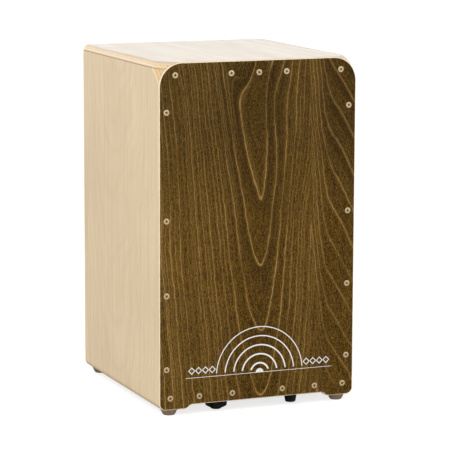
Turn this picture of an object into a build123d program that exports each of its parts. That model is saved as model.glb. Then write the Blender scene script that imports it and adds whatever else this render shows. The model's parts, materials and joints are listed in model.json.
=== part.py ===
"""A cajon: a plywood box drum with a screwed-on front plate and two string tuners.

Millimetres, +Z up. The origin is on the floor under the middle of the box, the player's
side (the front plate) faces -Y, and left and right are as seen from in front.
"""
from build123d import *
import os
from math import pi

# ---------------------------------------------------------------- driving sizes
width = 300.0
depth = 320.0
total_height = 500.0
foot_height = 9.0

wall = 9.0                    # side panels, seat and bottom panel
plate_thickness = 3.0
back_thickness = 6.0

front_corner_radius = 34.0    # the big sanded corners beside the top of the front plate
edge_radius = 9.0             # round-over on the long edges of the box
bottom_corner_radius = 10.0
blend_length = 40.0           # the big corners fade into the round-over over this length
blend_steps = 6
back_edge_radius = 2.5
seat_setback = 1.0            # the seat is this much narrower than the box on each side
seat_edge_radius = 8.5
rim_radius = 2.0              # rounded rim of the front plate
arris = 0.5

foot_land = 38.0              # width of the standing strip on each side
step_run = 13.0               # the S-shaped step beside it
arch_height = 5.5             # how far the bottom panel stands above the strip

batten_width = 18.0
batten_depth = 20.0
batten_height = 20.0
cleat_size = 15.0

sound_hole_radius = 60.0
sound_hole_height = 330.0

# wood screws
screw_head_radius = 4.2
screw_core_radius = 1.75
screw_length = 18.0
recess_length = 5.0
recess_width = 1.1
recess_depth = 1.6
recess_draft = 12.0
screw_tip = 4.0
screw_clearance = 0.05

plate_top_screw_x = (-126.0, -42.0, 0.0, 42.0, 126.0)
plate_top_screw_cover = 8.5   # from the inner face of the board to the screws' axes
plate_side_screw_cover = 2.0
plate_bottom_screw_cover = 2.5
plate_side_screw_z = (67.5, 173.0, 279.0, 431.0)
plate_bottom_screw_x = (-133.4, -89.2, -38.8, 38.8, 89.2, 133.4)
back_screw_x = 100.0
back_screw_inset = 9.0
back_side_screw_z = (175.0, 330.0)

# feet
foot_inset = 20.0             # from the side of the box to the middle of a foot
foot_front_inset = 15.0
foot_top_radius = 12.3
foot_bottom_radius = 8.6
foot_bore_radius = 5.2
foot_floor = 4.0              # rubber left above the counterbore
foot_edge_radius = 1.2
washer_thickness = 1.0
foot_washer_radius = 4.8
foot_screw_radius = 2.0
foot_screw_length = 16.0

# pan-head screws
pan_head_radius = 3.8
pan_head_height = 2.4
pan_head_edge = 1.0
pan_recess_length = 4.0

# string tuners
tuner_x = 58.0
tuner_setback = 15.0          # from the front of the box to the rod's axis
knob_bottom = 2.4
knob_hub_top_radius = 9.2
knob_hub_bottom_radius = 7.4
knob_wing_reach = 14.8         # at the foot of the wings, before their draft
knob_wing_width = 6.6
knob_wing_lift = 1.0
knob_wing_tip_lift = 4.6       # the underside of a wing slopes up to its tip
knob_wing_edge = 1.8
knob_hub_edge = 1.5
knob_draft = 7.0
knob_socket_floor = 2.5
knob_rest_angle = {"left": -28.0, "right": 85.0}
running_clearance = 0.06
fit_gap = 0.02
face_gap = 0.1
rod_radius = 3.0
thread_pitch = 1.0
knob_turns = 2.75             # each way from the tuned position
tuner_washer_radius = 8.0
bush_radius = 4.2
bush_flange_radius = 6.5
bush_flange = 1.5
collar_radius = 6.0
collar_height = 5.0

carriage_half_width = 16.0
carriage_depth = 12.0
carriage_height = 10.0
carriage_lift = 12.5          # above the batten, in the tuned position
lip_height = 4.0
guide_clearance = 0.3
bracket_thickness = 1.5
bracket_flange = 12.0
bracket_head_room = 5.5
bracket_screw_length = 12.0
rod_end = 2.0                 # rod left above the bracket
rod_chamfer = 0.6
plate_gap = 0.3               # between the plate and what stands or moves behind it

string_radius = 0.3
string_setback = 1.4          # from the back of the plate to the strings
string_pitch = 8.0
string_count = 4
string_clearance = 0.05
ferrule_radius = 1.1
ferrule_length = 4.0
anchor_half_width = 20.0
anchor_depth = 14.7
anchor_height = 15.0
anchor_bore_depth = 12.0
anchor_screw_length = 22.0
anchor_screw_offset = 8.0
grub_radius = 1.5
grub_length = 11.0
grub_drop = 9.0               # below the batten

# ---------------------------------------------------------------- places worked out
half_width = width / 2
inner_half = half_width - wall
front = -depth / 2
back = depth / 2
plate_back = front + plate_thickness
back_inner = back - back_thickness
box_bottom = foot_height
arch = box_bottom + arch_height
floor_top = arch + wall
seat_under = total_height - wall
front_batten_back = plate_back + batten_depth
back_batten_front = back_inner - batten_depth
batten_low = floor_top + batten_height
batten_high = seat_under - batten_height
blend_end = plate_back + blend_length

tuner_y = front + tuner_setback
string_y = plate_back + string_setback
lip_front = plate_back + plate_gap
washer_bottom = arch - washer_thickness
knob_top = washer_bottom - face_gap
wing_span = knob_wing_reach + knob_top - knob_bottom     # wider than the drafted wings
flange_top = batten_low + bush_flange
collar_bottom = flange_top + 2 * face_gap
carriage_bottom = batten_low + carriage_lift
carriage_top = carriage_bottom + carriage_height
travel = knob_turns * thread_pitch
bridge_under = carriage_top + travel + bracket_head_room
bridge_top = bridge_under + bracket_thickness
rod_top = bridge_top + rod_end
rod_bottom = knob_bottom + knob_socket_floor
anchor_bottom = batten_high - anchor_height
string_top = anchor_bottom + anchor_bore_depth
string_bottom = carriage_bottom - ferrule_length
string_offsets = [(i - (string_count - 1) / 2) * string_pitch for i in range(string_count)]

sides = {"left": -1, "right": 1}

os.makedirs("parts", exist_ok=True)


def save(part, name):
    """Label a finished piece and write it as its own STEP file."""
    part.label = name
    export_step(part, f"parts/{name}.step")


def facing_front(y):
    """A drawing plane at depth y, seen from in front: X to the right, Z up."""
    return Plane(origin=(0, y, 0), x_dir=(1, 0, 0), z_dir=(0, -1, 0))


def facing_back(y):
    """A drawing plane at depth y whose normal points out of the back."""
    return Plane(origin=(0, y, 0), x_dir=(-1, 0, 0), z_dir=(0, 1, 0))


def block(x, y, z):
    """A box between two corners, given as (low, high) on each axis."""
    with Locations(((x[0] + x[1]) / 2, (y[0] + y[1]) / 2, (z[0] + z[1]) / 2)):
        Box(x[1] - x[0], y[1] - y[0], z[1] - z[0])


def box_outline(top_radius):
    """The outline of the box from in front, with its arch between the standing strips."""
    w = half_width
    step = w - foot_land
    top = total_height
    low = box_bottom
    middle = (step - step_run / 2, (low + arch) / 2)
    with BuildLine() as outline:
        Line((0, top), (w - top_radius, top))
        TangentArc((w - top_radius, top), (w, top - top_radius), tangent=(1, 0))
        Line((w, top - top_radius), (w, low + bottom_corner_radius))
        TangentArc((w, low + bottom_corner_radius), (w - bottom_corner_radius, low), tangent=(0, -1))
        Line((w - bottom_corner_radius, low), (step, low))
        TangentArc((step, low), middle, tangent=(-1, 0))
        TangentArc((step - step_run, arch), middle, tangent=(1, 0))
        Line((step - step_run, arch), (0, arch))
        mirror(about=Plane.YZ)
    make_face(outline.edges())


# ---------------------------------------------------------------- the outer form
# Every wooden shell piece is trimmed by this form: a straight prism with rounded long
# edges, whose top corners swell to the big radius where they meet the front plate.
with BuildPart() as outer_form:
    with BuildSketch(facing_front(back)):
        box_outline(edge_radius)
    extrude(amount=back - blend_end)
    fillet(outer_form.faces().sort_by(Axis.Y)[-1].edges(), back_edge_radius)
    for i in range(blend_steps + 1):
        fade = (1 - i / blend_steps) ** 2
        with BuildSketch(facing_front(plate_back + blend_length * i / blend_steps)):
            box_outline(edge_radius + (front_corner_radius - edge_radius) * fade)
    loft(ruled=True)

# ---------------------------------------------------------------- screws to copy
# Each is drawn pointing down: a countersunk screw has its head's face at z = 0, and a
# pan-head screw has the seat of its head there.


def countersunk_screw(length):
    """Profile of a countersunk wood screw, turned about Z, with a cross recess."""
    neck = screw_head_radius - screw_core_radius
    with BuildSketch(Plane.XZ) as profile:
        with BuildLine():
            Polyline((0, 0), (screw_head_radius, 0), (screw_core_radius, -neck),
                     (screw_core_radius, screw_tip - length), (0, -length), close=True)
        make_face()
    revolve(profile.sketch, axis=Axis.Z)
    with BuildSketch(Plane.XY) as cross:
        Rectangle(recess_length, recess_width)
        Rectangle(recess_width, recess_length)
    extrude(cross.sketch, amount=-recess_depth, taper=recess_draft, mode=Mode.SUBTRACT)


def pan_head_screw(radius, length):
    """Profile of a pan-head screw, turned about Z, with a cross recess."""
    rim = pan_head_radius - pan_head_edge
    shoulder = pan_head_height - pan_head_edge
    with BuildSketch(Plane.XZ) as profile:
        with BuildLine():
            Polyline((0, pan_head_height), (rim, pan_head_height), (pan_head_radius, shoulder),
                     (pan_head_radius, 0), (radius, 0), (radius, screw_tip - length),
                     (0, -length), close=True)
        make_face()
    revolve(profile.sketch, axis=Axis.Z)
    with BuildSketch(Plane.XY.offset(pan_head_height)) as cross:
        Rectangle(pan_recess_length, recess_width)
        Rectangle(recess_width, pan_recess_length)
    extrude(cross.sketch, amount=-recess_depth, taper=recess_draft, mode=Mode.SUBTRACT)


with BuildPart() as wood_screw:
    countersunk_screw(screw_length)

with BuildPart() as anchor_screw:
    countersunk_screw(anchor_screw_length)

with BuildPart() as bracket_screw:
    pan_head_screw(screw_core_radius, bracket_screw_length)

with BuildPart() as foot_screw:
    pan_head_screw(foot_screw_radius, foot_screw_length)


def screw_hole(length):
    """The matching hole, at the current locations: countersink, then a plain bore."""
    neck = screw_head_radius - screw_core_radius
    bore = screw_core_radius + screw_clearance
    Hole(bore, depth=length)
    Cone(bore, bore + neck, neck, align=(Align.CENTER, Align.CENTER, Align.MAX), mode=Mode.SUBTRACT)


top_screws = [(x, seat_under - plate_top_screw_cover) for x in plate_top_screw_x]
bottom_screws = [(x, floor_top + plate_bottom_screw_cover) for x in plate_bottom_screw_x]
side_screws = {
    name: [(sign * (inner_half - plate_side_screw_cover), z) for z in plate_side_screw_z]
    for name, sign in sides.items()
}
plate_screws = top_screws + bottom_screws + side_screws["left"] + side_screws["right"]
back_screws = [(x, z) for x in (-back_screw_x, 0, back_screw_x)
               for z in (floor_top + back_screw_inset, seat_under - back_screw_inset)]
back_screws += [(x, z) for x in (back_screw_inset - inner_half, inner_half - back_screw_inset)
                for z in back_side_screw_z]

# ---------------------------------------------------------------- front plate
with BuildPart() as front_plate:
    with BuildSketch(facing_front(plate_back)):
        box_outline(front_corner_radius)
    extrude(amount=plate_thickness)
    fillet(front_plate.faces().sort_by(Axis.Y)[0].edges(), rim_radius)
    with Locations(facing_front(front)):
        with Locations(*plate_screws):
            screw_hole(plate_thickness)
save(front_plate.part, "front_plate")

# ---------------------------------------------------------------- shell
with BuildPart() as seat_panel:
    seat_half = half_width - seat_setback
    with BuildSketch(facing_front(back)):
        with BuildLine():
            Polyline((0, total_height), (0, seat_under), (seat_half, seat_under),
                     (seat_half, total_height - seat_edge_radius))
            TangentArc((seat_half, total_height - seat_edge_radius),
                       (seat_half - seat_edge_radius, total_height), tangent=(0, 1))
            Line((seat_half - seat_edge_radius, total_height), (0, total_height))
        make_face()
        mirror(about=Plane.YZ)
    extrude(amount=back - plate_back)
    add(outer_form.part, mode=Mode.INTERSECT)
save(seat_panel.part, "seat_panel")

for name, sign in sides.items():
    with BuildPart() as side_panel:
        block((min(sign * inner_half, sign * half_width), max(sign * inner_half, sign * half_width)),
              (plate_back, back), (box_bottom, seat_under))
        top_edges = side_panel.edges().filter_by(Axis.Y).group_by(Axis.Z)[-1]
        chamfer(top_edges.sort_by(Axis.X)[0 if sign < 0 else -1], arris)
        add(outer_form.part, mode=Mode.INTERSECT)
    save(side_panel.part, f"{name}_side_panel")

foot_places = {
    f"{row}_{name}": (sign * (half_width - foot_inset), y)
    for row, y in (("front", front + foot_front_inset), ("back", back - foot_front_inset))
    for name, sign in sides.items()
}

with BuildPart() as bottom_panel:
    block((-inner_half, inner_half), (plate_back, back), (arch, floor_top))
    add(outer_form.part, mode=Mode.INTERSECT)
    with Locations(Plane.XY.offset(arch)):
        with Locations((-tuner_x, tuner_y), (tuner_x, tuner_y)):
            Hole(bush_radius + fit_gap)
        with Locations(*foot_places.values()):
            Hole(foot_screw_radius + screw_clearance)
save(bottom_panel.part, "bottom_panel")

for name, sign in sides.items():
    inner_edge = sign * (half_width - foot_land - step_run)
    with BuildPart() as skid:
        block((min(sign * inner_half, inner_edge), max(sign * inner_half, inner_edge)),
              (plate_back, back), (box_bottom, arch))
        add(outer_form.part, mode=Mode.INTERSECT)
        with Locations(Plane.XY.offset(box_bottom)):
            with Locations(foot_places[f"front_{name}"], foot_places[f"back_{name}"]):
                Hole(foot_screw_radius + screw_clearance)
    save(skid.part, f"{name}_skid")

with BuildPart() as back_panel:
    block((-inner_half, inner_half), (back_inner, back), (floor_top, seat_under))
    with Locations(facing_back(back)):
        with Locations((0, sound_hole_height)):
            Hole(sound_hole_radius)
        with Locations(*back_screws):
            screw_hole(back_thickness)
    hole_rim = back_panel.edges().filter_by(GeomType.CIRCLE).group_by(SortBy.RADIUS)[-1]
    fillet(hole_rim.sort_by(Axis.Y)[-1], rim_radius)
save(back_panel.part, "back_panel")

# ---------------------------------------------------------------- frames of battens
pilot_radius = screw_core_radius + screw_clearance
tuner_places = [(sign * tuner_x, tuner_y) for sign in sides.values()]
bracket_screw_x = carriage_half_width + guide_clearance + bracket_thickness + bracket_flange / 2

with BuildPart() as front_top_batten:
    block((-inner_half, inner_half), (plate_back, front_batten_back), (batten_high, seat_under))
    add(outer_form.part, mode=Mode.INTERSECT)
    with Locations(facing_front(plate_back)):
        with Locations(*top_screws):
            Hole(pilot_radius, depth=screw_length - plate_thickness)
    with Locations(Plane.XY.offset(batten_high).rotated((180, 0, 0))):
        for place in tuner_places:
            with Locations((place[0] - anchor_screw_offset, -place[1]),
                           (place[0] + anchor_screw_offset, -place[1])):
                Hole(pilot_radius, depth=anchor_screw_length - anchor_height)
save(front_top_batten.part, "front_top_batten")

with BuildPart() as front_bottom_batten:
    block((-inner_half, inner_half), (plate_back, front_batten_back), (floor_top, batten_low))
    with Locations(facing_front(plate_back)):
        with Locations(*bottom_screws):
            Hole(pilot_radius, depth=screw_length - plate_thickness)
    with Locations(Plane.XY.offset(batten_low)):
        with Locations(*tuner_places):
            Hole(bush_radius + fit_gap)
        for place in tuner_places:
            with Locations((place[0] - bracket_screw_x, place[1]), (place[0] + bracket_screw_x, place[1])):
                Hole(pilot_radius, depth=bracket_screw_length - bracket_thickness)
save(front_bottom_batten.part, "front_bottom_batten")

for name, sign in sides.items():
    edges_x = (sign * inner_half, sign * (inner_half - batten_width))
    batten_x = (min(edges_x), max(edges_x))
    with BuildPart() as front_side_batten:
        block(batten_x, (plate_back, front_batten_back), (batten_low, batten_high))
        with Locations(facing_front(plate_back)):
            with Locations(*side_screws[name]):
                Hole(pilot_radius, depth=screw_length - plate_thickness)
    save(front_side_batten.part, f"front_{name}_batten")
    with BuildPart() as back_side_batten:
        block(batten_x, (back_batten_front, back_inner), (batten_low, batten_high))
        with Locations(facing_back(back_inner)):
            with Locations(*[place for place in back_screws if place[1] in back_side_screw_z]):
                Hole(pilot_radius, depth=screw_length - back_thickness)
    save(back_side_batten.part, f"back_{name}_batten")

for name, low, high in (("top", batten_high, seat_under), ("bottom", floor_top, batten_low)):
    with BuildPart() as back_cross_batten:
        block((-inner_half, inner_half), (back_batten_front, back_inner), (low, high))
        with Locations(facing_back(back_inner)):
            with Locations(*[place for place in back_screws if low < place[1] < high]):
                Hole(pilot_radius, depth=screw_length - back_thickness)
    save(back_cross_batten.part, f"back_{name}_batten")

for name, sign in sides.items():
    edges_x = (sign * inner_half, sign * (inner_half - cleat_size))
    for level, low in (("top", seat_under - cleat_size), ("bottom", floor_top)):
        with BuildPart() as cleat:
            block((min(edges_x), max(edges_x)), (front_batten_back, back_batten_front),
                  (low, low + cleat_size))
        save(cleat.part, f"{name}_{level}_cleat")

# ---------------------------------------------------------------- plate and back screws
screw_groups = {
    "plate_screws_top": top_screws,
    "plate_screws_bottom": bottom_screws,
    "plate_screws_left": side_screws["left"],
    "plate_screws_right": side_screws["right"],
}
for name, places in screw_groups.items():
    with BuildPart() as screw_group:
        with Locations(facing_front(front)):
            with Locations(*places):
                add(wood_screw.part)
    save(screw_group.part, name)

with BuildPart() as back_screw_group:
    with Locations(facing_back(back)):
        with Locations(*back_screws):
            add(wood_screw.part)
save(back_screw_group.part, "back_screws")

# ---------------------------------------------------------------- rubber feet
foot_counterbore = foot_height - foot_floor
for name, place in foot_places.items():
    with BuildPart() as foot:
        with Locations((place[0], place[1], foot_height / 2)):
            Cone(foot_bottom_radius, foot_top_radius, foot_height)
        fillet(foot.edges().sort_by(Axis.Z)[0], foot_edge_radius)
        with Locations((place[0], place[1], foot_counterbore / 2)):
            Cylinder(foot_bore_radius, foot_counterbore, mode=Mode.SUBTRACT)
        with Locations((place[0], place[1], foot_height / 2)):
            Cylinder(foot_screw_radius + screw_clearance, foot_height, mode=Mode.SUBTRACT)
    save(foot.part, f"foot_{name}")

with BuildPart() as foot_washers:
    with Locations(*[(x, y, foot_counterbore - washer_thickness / 2) for x, y in foot_places.values()]):
        Cylinder(foot_washer_radius, washer_thickness)
        Cylinder(foot_screw_radius + screw_clearance, washer_thickness, mode=Mode.SUBTRACT)
save(foot_washers.part, "foot_washers")

with BuildPart() as foot_screws:
    with Locations(Plane.XY.offset(foot_counterbore - washer_thickness).rotated((180, 0, 0))):
        with Locations(*[(x, -y) for x, y in foot_places.values()]):
            add(foot_screw.part)
save(foot_screws.part, "foot_screws")

# ---------------------------------------------------------------- string tuners
bracket_half = carriage_half_width + guide_clearance
bracket_y = (tuner_y - carriage_depth / 2, tuner_y + carriage_depth / 2)
anchor_back = lip_front + anchor_depth
grub_z = batten_high - grub_drop
grub_tip = string_y + string_radius + string_clearance

for name, sign in sides.items():
    x = sign * tuner_x
    angle = knob_rest_angle[name]
    knob_plane = Plane.XY.offset(knob_bottom).rotated((0, 0, angle))
    knob_plane.origin = (x, tuner_y, knob_bottom)
    knob_height = knob_top - knob_bottom
    with BuildPart(knob_plane) as knob:
        with BuildSketch(knob_plane.offset(knob_wing_lift)):
            SlotOverall(2 * knob_wing_reach, knob_wing_width)
        extrude(amount=knob_height - knob_wing_lift, taper=-knob_draft)
        with BuildSketch(Plane(knob_plane.origin, knob_plane.x_dir, -knob_plane.y_dir)):
            Polygon((-wing_span, knob_height), (-knob_wing_reach, knob_wing_tip_lift),
                    (-knob_hub_bottom_radius, knob_wing_lift), (knob_hub_bottom_radius, knob_wing_lift),
                    (knob_wing_reach, knob_wing_tip_lift), (wing_span, knob_height), align=None)
        extrude(amount=knob_wing_width, both=True, mode=Mode.INTERSECT)
        under = knob.edges().filter_by_position(Axis.Z, knob_bottom, knob_top - knob_wing_edge)
        fillet(under, knob_wing_edge)
        Cone(knob_hub_bottom_radius, knob_hub_top_radius, knob_height,
             align=(Align.CENTER, Align.CENTER, Align.MIN))
        fillet(knob.edges().sort_by(Axis.Z)[0], knob_hub_edge)
        with BuildSketch(knob_plane.offset(knob_height)):
            Circle(rod_radius + fit_gap)
        extrude(amount=knob_socket_floor - knob_height, mode=Mode.SUBTRACT)
    save(knob.part, f"{name}_tuning_knob")

    with BuildPart() as rod:
        with BuildSketch(Plane.XY.offset(rod_bottom)):
            with Locations((x, tuner_y)):
                Circle(rod_radius)
        extrude(amount=rod_top - rod_bottom)
        chamfer(rod.edges().sort_by(Axis.Z)[-1], rod_chamfer)
    save(rod.part, f"{name}_tension_rod")

    with BuildPart() as knob_washer:
        with BuildSketch(Plane.XY.offset(washer_bottom)):
            with Locations((x, tuner_y)):
                Circle(tuner_washer_radius)
                Circle(rod_radius + guide_clearance, mode=Mode.SUBTRACT)
        extrude(amount=washer_thickness)
    save(knob_washer.part, f"{name}_knob_washer")

    with BuildPart() as bush:
        with BuildSketch(Plane.XY.offset(arch)):
            with Locations((x, tuner_y)):
                Circle(bush_radius)
        extrude(amount=batten_low - arch)
        with BuildSketch(Plane.XY.offset(batten_low)):
            with Locations((x, tuner_y)):
                Circle(bush_flange_radius)
        extrude(amount=bush_flange)
        with BuildSketch(Plane.XY.offset(arch)):
            with Locations((x, tuner_y)):
                Circle(rod_radius + running_clearance)
        extrude(amount=flange_top - arch, mode=Mode.SUBTRACT)
    save(bush.part, f"{name}_rod_bush")

    with BuildPart() as collar:
        with BuildSketch(Plane.XY.offset(collar_bottom)):
            with Locations((x, tuner_y)):
                RegularPolygon(collar_radius, 6)
                Circle(rod_radius + fit_gap, mode=Mode.SUBTRACT)
        extrude(amount=collar_height)
    save(collar.part, f"{name}_lock_nut")

    with BuildPart() as carriage:
        block((x - carriage_half_width, x + carriage_half_width), bracket_y, (carriage_bottom, carriage_top))
        block((x - carriage_half_width, x + carriage_half_width), (lip_front, bracket_y[0]),
              (carriage_bottom, carriage_bottom + lip_height))
        with Locations(Plane.XY.offset(carriage_top)):
            with Locations((x, tuner_y)):
                Hole(rod_radius + running_clearance)
            with Locations(*[(x + offset, string_y) for offset in string_offsets]):
                Hole(string_radius + 2 * string_clearance)
    save(carriage.part, f"{name}_string_carriage")

    with BuildPart() as ferrules:
        with Locations(*[(x + offset, string_y, carriage_bottom - ferrule_length / 2)
                         for offset in string_offsets]):
            Cylinder(ferrule_radius, ferrule_length)
            Cylinder(string_radius + string_clearance, ferrule_length, mode=Mode.SUBTRACT)
    save(ferrules.part, f"{name}_string_ferrules")

    with BuildPart() as strings:
        with Locations(*[(x + offset, string_y, (string_bottom + string_top) / 2)
                         for offset in string_offsets]):
            Cylinder(string_radius, string_top - string_bottom)
    save(strings.part, f"{name}_strings")

    with BuildPart() as bracket:
        with BuildSketch(facing_front(bracket_y[1])):
            with BuildLine():
                Polyline((x - bracket_half - bracket_flange, batten_low + bracket_thickness / 2),
                         (x - bracket_half - bracket_thickness / 2, batten_low + bracket_thickness / 2),
                         (x - bracket_half - bracket_thickness / 2, bridge_top - bracket_thickness / 2),
                         (x + bracket_half + bracket_thickness / 2, bridge_top - bracket_thickness / 2),
                         (x + bracket_half + bracket_thickness / 2, batten_low + bracket_thickness / 2),
                         (x + bracket_half + bracket_flange, batten_low + bracket_thickness / 2))
                offset(amount=bracket_thickness / 2, kind=Kind.INTERSECTION)
            make_face()
        extrude(amount=carriage_depth)
        with Locations(Plane.XY.offset(bridge_top)):
            with Locations((x, tuner_y)):
                Hole(rod_radius + guide_clearance, depth=2 * bracket_thickness)
            with Locations((x - bracket_screw_x, tuner_y), (x + bracket_screw_x, tuner_y)):
                Hole(pilot_radius)
    save(bracket.part, f"{name}_guide_bracket")

    with BuildPart() as anchor:
        block((x - anchor_half_width, x + anchor_half_width), (lip_front, anchor_back),
              (anchor_bottom, batten_high))
        with Locations(Plane.XY.offset(anchor_bottom).rotated((180, 0, 0))):
            with Locations(*[(x + offset, -string_y) for offset in string_offsets]):
                Hole(string_radius + 2 * string_clearance, depth=anchor_bore_depth)
            with Locations((x - anchor_screw_offset, -tuner_y), (x + anchor_screw_offset, -tuner_y)):
                screw_hole(anchor_height)
        with Locations(facing_back(anchor_back)):
            with Locations(*[(-x - offset, grub_z) for offset in string_offsets]):
                Hole(grub_radius + fit_gap, depth=anchor_back - grub_tip)
    save(anchor.part, f"{name}_string_anchor")

    with BuildPart() as grubs:
        with BuildSketch(facing_back(grub_tip)):
            with Locations(*[(-x - offset, grub_z) for offset in string_offsets]):
                Circle(grub_radius)
        extrude(amount=grub_length)
        with BuildSketch(facing_back(grub_tip + grub_length)):
            with Locations(*[(-x - offset, grub_z) for offset in string_offsets]):
                RegularPolygon(grub_radius / 2, 6)
        extrude(amount=-grub_length / 4, mode=Mode.SUBTRACT)
    save(grubs.part, f"{name}_grub_screws")

with BuildPart() as bracket_screws:
    with Locations(*[(sign * tuner_x + side * bracket_screw_x, tuner_y, batten_low + bracket_thickness)
                     for sign in sides.values() for side in (-1, 1)]):
        add(bracket_screw.part)
save(bracket_screws.part, "bracket_screws")

with BuildPart() as anchor_screws:
    with Locations(Plane.XY.offset(anchor_bottom).rotated((180, 0, 0))):
        with Locations(*[(sign * tuner_x + side * anchor_screw_offset, -tuner_y)
                         for sign in sides.values() for side in (-1, 1)]):
            add(anchor_screw.part)
save(anchor_screws.part, "anchor_screws")

print("carriage travel each way, mm:", travel, " metres per radian:", -thread_pitch / (2000 * pi))
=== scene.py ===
# %% [markdown]
# # A cajon
# A cajon is a plywood box that its player sits on. The thin front plate is struck like a
# drum skin, wires behind it buzz like a snare, and a hole in the back lets the bass out.
# The box, its frame and its tuners come as a fixed frame of solids. This lesson gives them
# their wood, metal and rubber, and makes anew the pieces that an eye rests on.

import bpy
import json
import random
from math import cos, hypot, pi, radians, sin, tau
from mathutils import Matrix, Vector

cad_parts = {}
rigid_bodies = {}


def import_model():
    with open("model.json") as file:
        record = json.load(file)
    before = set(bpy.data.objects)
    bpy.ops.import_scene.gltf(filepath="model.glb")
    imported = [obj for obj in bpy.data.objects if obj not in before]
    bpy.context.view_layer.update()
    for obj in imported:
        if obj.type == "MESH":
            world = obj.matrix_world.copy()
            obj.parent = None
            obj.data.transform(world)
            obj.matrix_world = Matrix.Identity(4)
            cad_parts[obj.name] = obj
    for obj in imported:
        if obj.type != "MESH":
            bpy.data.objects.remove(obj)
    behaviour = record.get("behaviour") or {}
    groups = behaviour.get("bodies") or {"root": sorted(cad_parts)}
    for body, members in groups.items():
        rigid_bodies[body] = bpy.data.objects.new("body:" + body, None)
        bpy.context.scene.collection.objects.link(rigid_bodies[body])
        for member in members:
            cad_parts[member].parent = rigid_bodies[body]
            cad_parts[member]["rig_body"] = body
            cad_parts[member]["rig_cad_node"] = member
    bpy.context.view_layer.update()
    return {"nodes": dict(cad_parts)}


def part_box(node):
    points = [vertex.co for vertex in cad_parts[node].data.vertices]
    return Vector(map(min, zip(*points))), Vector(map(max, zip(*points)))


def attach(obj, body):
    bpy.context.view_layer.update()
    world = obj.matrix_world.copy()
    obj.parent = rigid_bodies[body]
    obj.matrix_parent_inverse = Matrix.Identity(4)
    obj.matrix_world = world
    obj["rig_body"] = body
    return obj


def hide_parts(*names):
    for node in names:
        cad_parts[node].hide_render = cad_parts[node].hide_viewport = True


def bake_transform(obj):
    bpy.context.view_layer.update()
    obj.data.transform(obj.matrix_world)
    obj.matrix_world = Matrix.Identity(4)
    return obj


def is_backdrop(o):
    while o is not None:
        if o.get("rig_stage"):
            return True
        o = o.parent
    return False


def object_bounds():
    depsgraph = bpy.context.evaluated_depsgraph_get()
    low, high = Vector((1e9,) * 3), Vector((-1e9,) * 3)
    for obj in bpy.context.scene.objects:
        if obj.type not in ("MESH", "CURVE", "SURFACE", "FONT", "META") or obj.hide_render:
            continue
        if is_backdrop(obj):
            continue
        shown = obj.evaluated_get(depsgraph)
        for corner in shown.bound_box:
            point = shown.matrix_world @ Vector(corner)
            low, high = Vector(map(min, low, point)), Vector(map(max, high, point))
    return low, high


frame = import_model()
nodes = frame["nodes"]
bpy.ops.object.select_all(action="DESELECT")

# %% [markdown]
# Boards and fittings take their places from the solids, so a piece always fits the box it
# belongs to. Only the ring figure and the ornament have measures of their own. Small sizes
# are written in millimetres and multiplied by `mm`.

# %% Measures
mm = 0.001
plate_low, plate_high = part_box("front_plate")
seat_low, seat_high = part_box("seat_panel")
back_low, back_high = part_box("back_panel")
bottom_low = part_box("bottom_panel")[0]
front = plate_low.y
back = back_high.y
top = plate_high.z
half_width = plate_high.x
print("box in mm:", [round(v / mm) for v in (2 * half_width, back - front, top)])

# %% [markdown]
# The camera stands three and a half metres away with a long lens, a little above the seat
# and to the left, so that the front plate and one side show with little perspective.

# %% Camera
camera_place = Vector((-1.3142, -3.2231, 0.8121))
camera_turn = radians(22.434)
camera_dip = radians(9.3325)
camera_roll = radians(0.197)
ahead = cos(camera_dip)
forward = Vector((sin(camera_turn) * ahead, cos(camera_turn) * ahead, -sin(camera_dip)))
level = Vector((cos(camera_turn), -sin(camera_turn), 0))
upright = level.cross(forward)
across = level * cos(camera_roll) + upright * sin(camera_roll)
above = upright * cos(camera_roll) - level * sin(camera_roll)

camera_data = bpy.data.cameras.new("camera")
camera_data.lens = 190.4
camera_data.sensor_width = 36
camera = bpy.data.objects.new("camera", camera_data)
axes = Matrix((across, above, -forward)).transposed()
camera.matrix_world = Matrix.Translation(camera_place) @ axes.to_4x4()
bpy.context.collection.objects.link(camera)
bpy.context.scene.camera = camera
bpy.context.scene.view_settings.view_transform = "Standard"
print("camera:", round(camera_place.length, 2), "m away, lens", round(camera_data.lens, 1), "mm")

# %% [markdown]
# The studio is a white floor under a white sky that is brightest near the horizon. A bright
# horizon does two jobs: it wraps the upright faces in soft light, and at a low angle the
# lacquered seat mirrors it, which is why the top of a pale box looks almost white. A lit
# floor would also shine up under the box and wash out its lower edges. So the floor's own
# glow is shown only to the eye, and what it gives the box is a dim bounce.

# %% Floor
bpy.ops.mesh.primitive_plane_add(size=60, location=(0, 0, 0))
floor = bpy.context.object
floor.name = "studio_floor"
floor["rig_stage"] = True
floor_paint = bpy.data.materials.new("studio_white")
floor_paint.use_nodes = True
floor_tree = floor_paint.node_tree
floor_shader = floor_tree.nodes["Principled BSDF"]
floor_shader.inputs["Base Color"].default_value = (0.5, 0.5, 0.5, 1)
floor_shader.inputs["Roughness"].default_value = 0.9
floor_shader.inputs["Specular IOR Level"].default_value = 0.0
floor_shader.inputs["Emission Color"].default_value = (1, 1, 1, 1)
seen = floor_tree.nodes.new("ShaderNodeLightPath")
shown_glow = floor_tree.nodes.new("ShaderNodeMath")
shown_glow.operation = "MULTIPLY"
shown_glow.inputs[1].default_value = 0.75
floor_tree.links.new(seen.outputs["Is Camera Ray"], shown_glow.inputs[0])
floor_tree.links.new(shown_glow.outputs[0], floor_shader.inputs["Emission Strength"])
floor.data.materials.append(floor_paint)
print("floor:", round(floor.dimensions.x), "m wide")

# %% [markdown]
# The sky is a shader too. It reads how high a ray points, and maps that to a strength: most
# at the horizon, least from thirty degrees up. An image of a real studio could light the
# box as well, but a lesson should need no files.

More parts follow.
